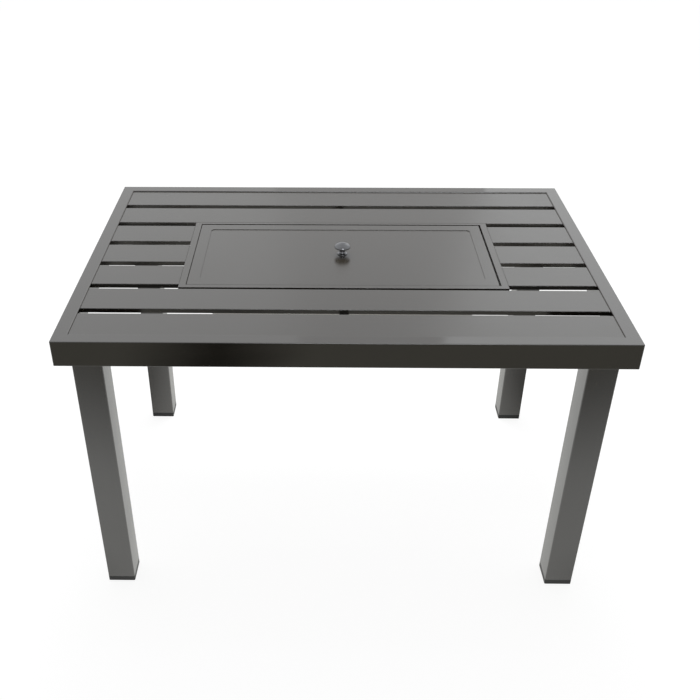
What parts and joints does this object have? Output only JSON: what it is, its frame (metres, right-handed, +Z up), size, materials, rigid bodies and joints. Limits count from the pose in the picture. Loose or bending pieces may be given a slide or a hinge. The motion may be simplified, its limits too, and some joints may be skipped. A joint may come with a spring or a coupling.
{
  "type": "gas fire pit table",
  "caption": "Rectangular gas fire pit table on square legs, with a slatted metal top, a lift-off burner lid and hidden gas controls.",
  "frame": {"origin": "on the floor under the middle of the top", "axes": "+X along the length of the top, +Y to the side with the gas controls, +Z up"},
  "size_m": [1.22, 0.838, 0.7592],
  "materials": {
    "powder_coat": "pewter powder coat, semi-gloss",
    "powder_coat_dark": "dark powder coat",
    "knob_metal": "polished gunmetal",
    "stainless": "brushed",
    "zinc": "zinc plated",
    "aluminised": "satin",
    "brass": "turned",
    "black_plastic": "moulded",
    "grey_plastic": "moulded foot cap",
    "rubber": "silicone",
    "ceramic": "glazed ceramic",
    "chrome": "polished"
  },
  "bodies": {
    "table": {"air_mixer": "aluminised", "back_bearer": "powder_coat_dark", "back_header": "powder_coat_dark", "back_left_leg": "powder_coat", "back_rail": "powder_coat", "back_right_leg": "powder_coat", "burner": "stainless", "burner_pan": "stainless", "burner_rim": "powder_coat", "burner_stands": "stainless", "control_panel": "powder_coat_dark", "corner_brackets": "powder_coat_dark", "feed_nipple": "stainless", "flame_sensor": "stainless", "foot_caps": "grey_plastic", "front_bearer": "powder_coat_dark", "front_header": "powder_coat_dark", "front_left_leg": "powder_coat", "front_rail": "powder_coat", "front_right_leg": "powder_coat", "gas_inlet": "brass", "gas_jet": "brass", "gas_pipe": "stainless", "heat_shield": "aluminised", "igniter_body": "black_plastic", "left_bearer": "powder_coat_dark", "left_rail": "powder_coat", "leg_bolts": "zinc", "nipple_locknut": "zinc", "panel_screws": "zinc", "right_bearer": "powder_coat_dark", "right_rail": "powder_coat", "slat_1": "powder_coat", "slat_2": "powder_coat", "slat_3_left": "powder_coat", "slat_3_right": "powder_coat", "slat_4_left": "powder_coat", "slat_4_right": "powder_coat", "slat_5_left": "powder_coat", "slat_5_right": "powder_coat", "slat_6": "powder_coat", "slat_7": "powder_coat", "slat_clips": "powder_coat_dark", "spark_electrode": "ceramic", "valve_body": "brass", "valve_nut": "zinc"},
    "lid": {"lid_panel": "powder_coat", "lid_knob": "knob_metal", "lid_knob_screw": "zinc", "lid_feet": "rubber"},
    "valve_push": {"stem_collar": "brass"},
    "valve_turn": {"valve_stem": "stainless", "control_knob": "black_plastic"},
    "igniter_push": {"igniter_button": "chrome"}
  },
  "joints": [
    {"name": "lid_lift", "type": "slide", "parent": "table", "child": "lid", "axis": [0, 0, 1], "range_m": [0, 0.12]},
    {"name": "knob_push", "type": "slide", "parent": "table", "child": "valve_push", "axis": [0, -1, 0], "range_m": [0, 0.0025], "stiffness_N_per_m": 2000, "springref_m": -0.002},
    {"name": "knob_turn", "type": "hinge", "parent": "valve_push", "child": "valve_turn", "pos_m": [0, 0.405, 0.64], "axis": [0, 1, 0], "range_deg": [0, 180]},
    {"name": "igniter_press", "type": "slide", "parent": "table", "child": "igniter_push", "axis": [0, -1, 0], "range_m": [0, 0.005], "stiffness_N_per_m": 1000, "springref_m": -0.002}
  ]
}
